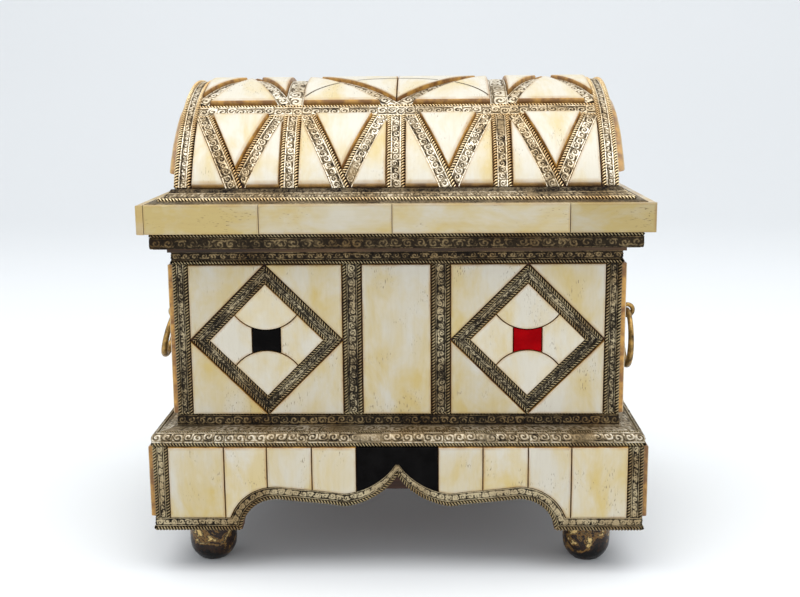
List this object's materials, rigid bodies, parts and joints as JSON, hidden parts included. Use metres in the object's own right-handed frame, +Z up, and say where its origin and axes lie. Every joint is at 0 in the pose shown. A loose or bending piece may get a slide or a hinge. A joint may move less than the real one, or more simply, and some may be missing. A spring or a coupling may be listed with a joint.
{
  "type": "inlaid casket with domed lid",
  "caption": "Wooden casket with a domed hinged lid, bone tiles between embossed metal bands, a scalloped plinth on turned feet and ring handles.",
  "frame": {"origin": "on the floor under the middle of the casket", "axes": "+X to the casket's right as seen from the front, +Y from the front to the hinges, +Z up"},
  "size_m": [0.2366, 0.166, 0.2192],
  "materials": {
    "carcass_wood": "satin dark stained wood",
    "bone": "polished camel bone, cream with stains",
    "embossed_metal": "stamped nickel silver with blackened recesses",
    "rope_wire": "twisted wire, blackened between the strands",
    "black_resin": "polished black resin",
    "red_resin": "polished deep red resin",
    "foot_patina": "mottled black and gold patina, glossy",
    "aged_brass": "aged brass, worn",
    "hinge_brass": "aged brass sheet"
  },
  "bodies": {
    "casket": {"front_board": "carcass_wood", "back_board": "carcass_wood", "left_board": "carcass_wood", "right_board": "carcass_wood", "bottom_board": "carcass_wood", "plinth_front": "carcass_wood", "plinth_back": "carcass_wood", "plinth_left": "carcass_wood", "plinth_right": "carcass_wood", "plinth_flare": "embossed_metal", "corner_blocks": "carcass_wood", "foot_front_left": "foot_patina", "foot_front_right": "foot_patina", "foot_back_left": "foot_patina", "foot_back_right": "foot_patina", "body_top_edging": "carcass_wood", "body_top_band": "embossed_metal", "body_bottom_band": "embossed_metal", "body_corner_strips": "embossed_metal", "body_strips": "embossed_metal", "diamond_frames": "embossed_metal", "body_wires": "rope_wire", "bone_front": "bone", "bone_back": "bone", "bone_left": "bone", "bone_right": "bone", "diamond_bone": "bone", "diamond_centres_black": "black_resin", "diamond_centres_red": "red_resin", "plinth_tiles_front": "bone", "plinth_tiles_back": "bone", "plinth_tiles_sides": "bone", "plinth_tiles_black": "black_resin", "plinth_bands": "embossed_metal", "plinth_scallop_bands": "embossed_metal", "plinth_wires": "rope_wire", "handle_plates": "embossed_metal", "handle_eyes": "aged_brass", "hinge_body_leaves": "hinge_brass", "hinge_pins": "hinge_brass", "hinge_body_screws": "hinge_brass"},
    "lid": {"hinge_lid_leaves": "hinge_brass", "hinge_lid_screws": "hinge_brass", "lid_frame": "carcass_wood", "lid_vault": "carcass_wood", "lid_end_left": "carcass_wood", "lid_end_right": "carcass_wood", "rim_bone": "bone", "rim_moulding": "embossed_metal", "lid_flare": "embossed_metal", "dome_strips": "embossed_metal", "dome_edge_strips": "embossed_metal", "lid_wires": "rope_wire", "dome_tiles_front": "bone", "dome_tiles_back": "bone", "dome_tiles_top": "bone", "dome_tiles_ends": "bone"},
    "ring_left": {"ring_left": "aged_brass"},
    "ring_right": {"ring_right": "aged_brass"}
  },
  "joints": [
    {"name": "lid_hinge", "type": "hinge", "parent": "casket", "child": "lid", "pos_m": [0, 0.07525, 0.1431], "axis": [-1, 0, 0], "range_deg": [0, 110]},
    {"name": "ring_left_hinge", "type": "hinge", "parent": "casket", "child": "ring_left", "pos_m": [-0.1127, 0, 0.104], "axis": [0, 1, 0], "range_deg": [-42, 178]},
    {"name": "ring_right_hinge", "type": "hinge", "parent": "casket", "child": "ring_right", "pos_m": [0.1127, 0, 0.104], "axis": [0, -1, 0], "range_deg": [-22, 194]}
  ]
}
